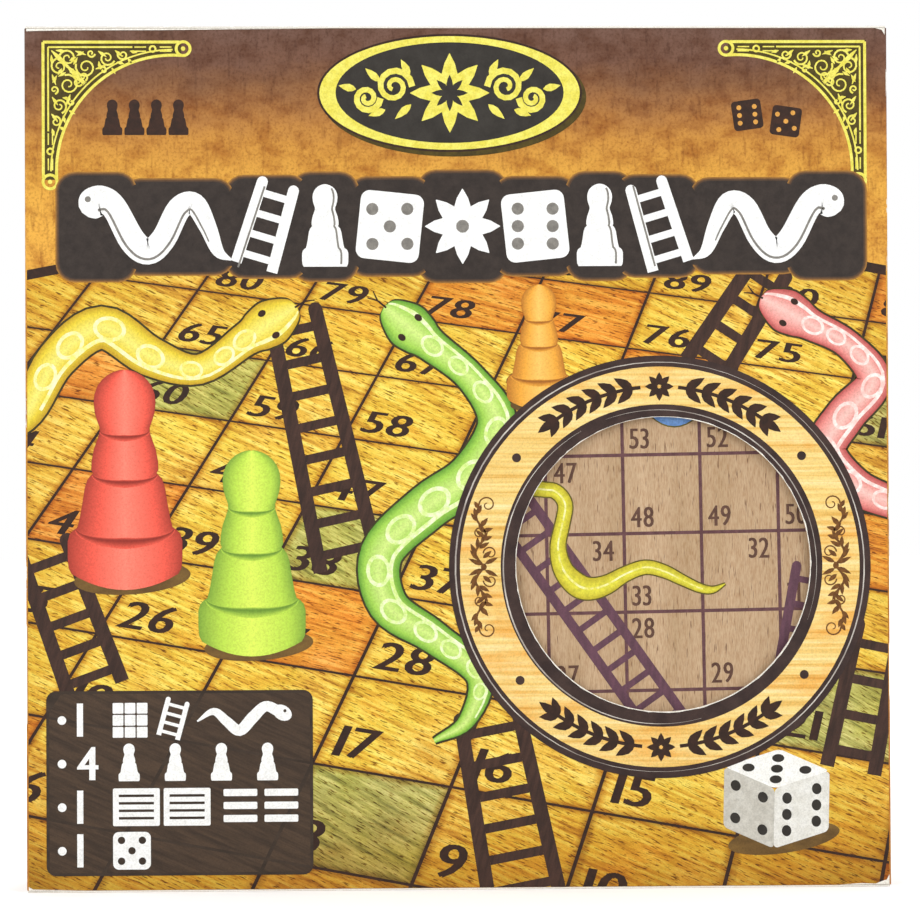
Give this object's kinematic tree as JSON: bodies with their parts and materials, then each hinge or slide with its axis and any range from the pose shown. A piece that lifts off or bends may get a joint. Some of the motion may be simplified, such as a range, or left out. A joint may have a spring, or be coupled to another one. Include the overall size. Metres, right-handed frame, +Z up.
{
  "type": "boxed snakes and ladders set",
  "caption": "Tuck-end paperboard carton standing upright, with a round window onto a wooden snakes and ladders board, and pawns, a die and a leaflet in the pocket behind it.",
  "frame": {"origin": "on the ground, under the middle of the upright carton", "axes": "+Z up, -Y out of the printed front with the window, +X to the right seen from the front"},
  "size_m": [0.267, 0.038, 0.267],
  "materials": {
    "front_print": "coated folding boxboard, offset printed and gloss varnished",
    "back_print": "coated folding boxboard, offset printed and gloss varnished",
    "side_print": "coated folding boxboard, offset printed and gloss varnished",
    "white_boxboard": "uncoated white back of folding boxboard",
    "corrugated_insert": "brown kraft corrugated board, matt",
    "beech_plywood": "sanded beech plywood, screen printed and clear varnished",
    "green_lacquer": "turned wood, gloss green lacquer",
    "red_lacquer": "turned wood, gloss red lacquer",
    "yellow_lacquer": "turned wood, gloss yellow lacquer",
    "blue_lacquer": "turned wood, gloss blue lacquer",
    "die_plastic": "moulded ivory plastic with dark pips",
    "leaflet_paper": "uncoated offset paper, printed in black"
  },
  "bodies": {
    "carton": {"front_panel": "front_print", "back_panel": "back_print", "left_side_panel": "side_print", "right_side_panel": "side_print", "glue_flap": "white_boxboard", "insert_back_wall": "corrugated_insert", "insert_ledge": "corrugated_insert", "insert_shelf": "corrugated_insert", "insert_left_wall": "corrugated_insert", "insert_right_wall": "corrugated_insert", "game_board": "beech_plywood", "pawn_green": "green_lacquer", "pawn_red": "red_lacquer", "pawn_yellow": "yellow_lacquer", "pawn_blue": "blue_lacquer", "die": "die_plastic", "instruction_leaflet": "leaflet_paper"},
    "top_lid": {"top_lid_flap": "side_print"},
    "top_tongue": {"top_tuck_tongue": "white_boxboard"},
    "top_dust_left": {"top_dust_flap_left": "white_boxboard"},
    "top_dust_right": {"top_dust_flap_right": "white_boxboard"},
    "bottom_lid": {"bottom_lid_flap": "side_print"},
    "bottom_tongue": {"bottom_tuck_tongue": "white_boxboard"},
    "bottom_dust_left": {"bottom_dust_flap_left": "white_boxboard"},
    "bottom_dust_right": {"bottom_dust_flap_right": "white_boxboard"}
  },
  "joints": [
    {"name": "top_lid_crease", "type": "hinge", "parent": "carton", "child": "top_lid", "pos_m": [0, -0.0187, 0.2667], "axis": [1, 0, 0], "range_deg": [0, 180]},
    {"name": "top_tongue_crease", "type": "hinge", "parent": "top_lid", "child": "top_tongue", "pos_m": [0, 0.0178, 0.2667], "axis": [1, 0, 0], "range_deg": [-35, 0]},
    {"name": "top_dust_left_crease", "type": "hinge", "parent": "carton", "child": "top_dust_left", "pos_m": [-0.1332, 0, 0.26605], "axis": [0, -1, 0], "range_deg": [0, 90]},
    {"name": "top_dust_right_crease", "type": "hinge", "parent": "carton", "child": "top_dust_right", "pos_m": [0.1332, 0, 0.26605], "axis": [0, 1, 0], "range_deg": [0, 90]},
    {"name": "bottom_lid_crease", "type": "hinge", "parent": "carton", "child": "bottom_lid", "pos_m": [0, -0.0187, 0.0003], "axis": [-1, 0, 0], "range_deg": [0, 180]},
    {"name": "bottom_tongue_crease", "type": "hinge", "parent": "bottom_lid", "child": "bottom_tongue", "pos_m": [0, 0.0178, 0.0003], "axis": [-1, 0, 0], "range_deg": [-35, 0]},
    {"name": "bottom_dust_left_crease", "type": "hinge", "parent": "carton", "child": "bottom_dust_left", "pos_m": [-0.1332, 0, 0.00095], "axis": [0, 1, 0], "range_deg": [0, 90]},
    {"name": "bottom_dust_right_crease", "type": "hinge", "parent": "carton", "child": "bottom_dust_right", "pos_m": [0.1332, 0, 0.00095], "axis": [0, -1, 0], "range_deg": [0, 90]}
  ],
  "couplings": [
    {"joint": "top_dust_left_crease", "follows": "top_lid_crease", "ratio": 0.5},
    {"joint": "top_dust_right_crease", "follows": "top_lid_crease", "ratio": 0.5},
    {"joint": "bottom_dust_left_crease", "follows": "bottom_lid_crease", "ratio": 0.5},
    {"joint": "bottom_dust_right_crease", "follows": "bottom_lid_crease", "ratio": 0.5}
  ]
}
